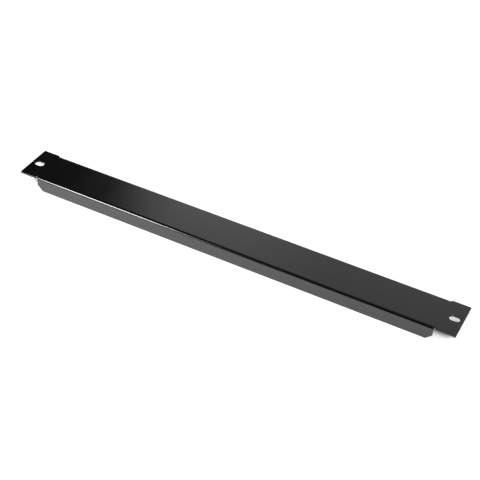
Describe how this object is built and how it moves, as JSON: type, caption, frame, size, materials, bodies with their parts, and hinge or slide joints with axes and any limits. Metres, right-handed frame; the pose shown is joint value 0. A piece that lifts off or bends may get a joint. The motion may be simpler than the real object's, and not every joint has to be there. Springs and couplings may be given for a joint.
{
  "type": "rack blanking panel",
  "caption": "Flat black steel panel with two folded-down long flanges and a slotted ear at each end, which closes an empty space in an equipment rack.",
  "frame": {"origin": "midway along the panel and midway between its flanges, at the level of the flange edges it rests on", "axes": "+X along the panel from ear to ear, +Y across it, +Z out of its front face, which lies upward"},
  "size_m": [0.4826, 0.0436, 0.0159],
  "materials": {
    "black_powder_coat": "semi-gloss black powder coat with a fine grain"
  },
  "bodies": {
    "root": {"blanking_panel": "black_powder_coat"}
  },
  "joints": []
}
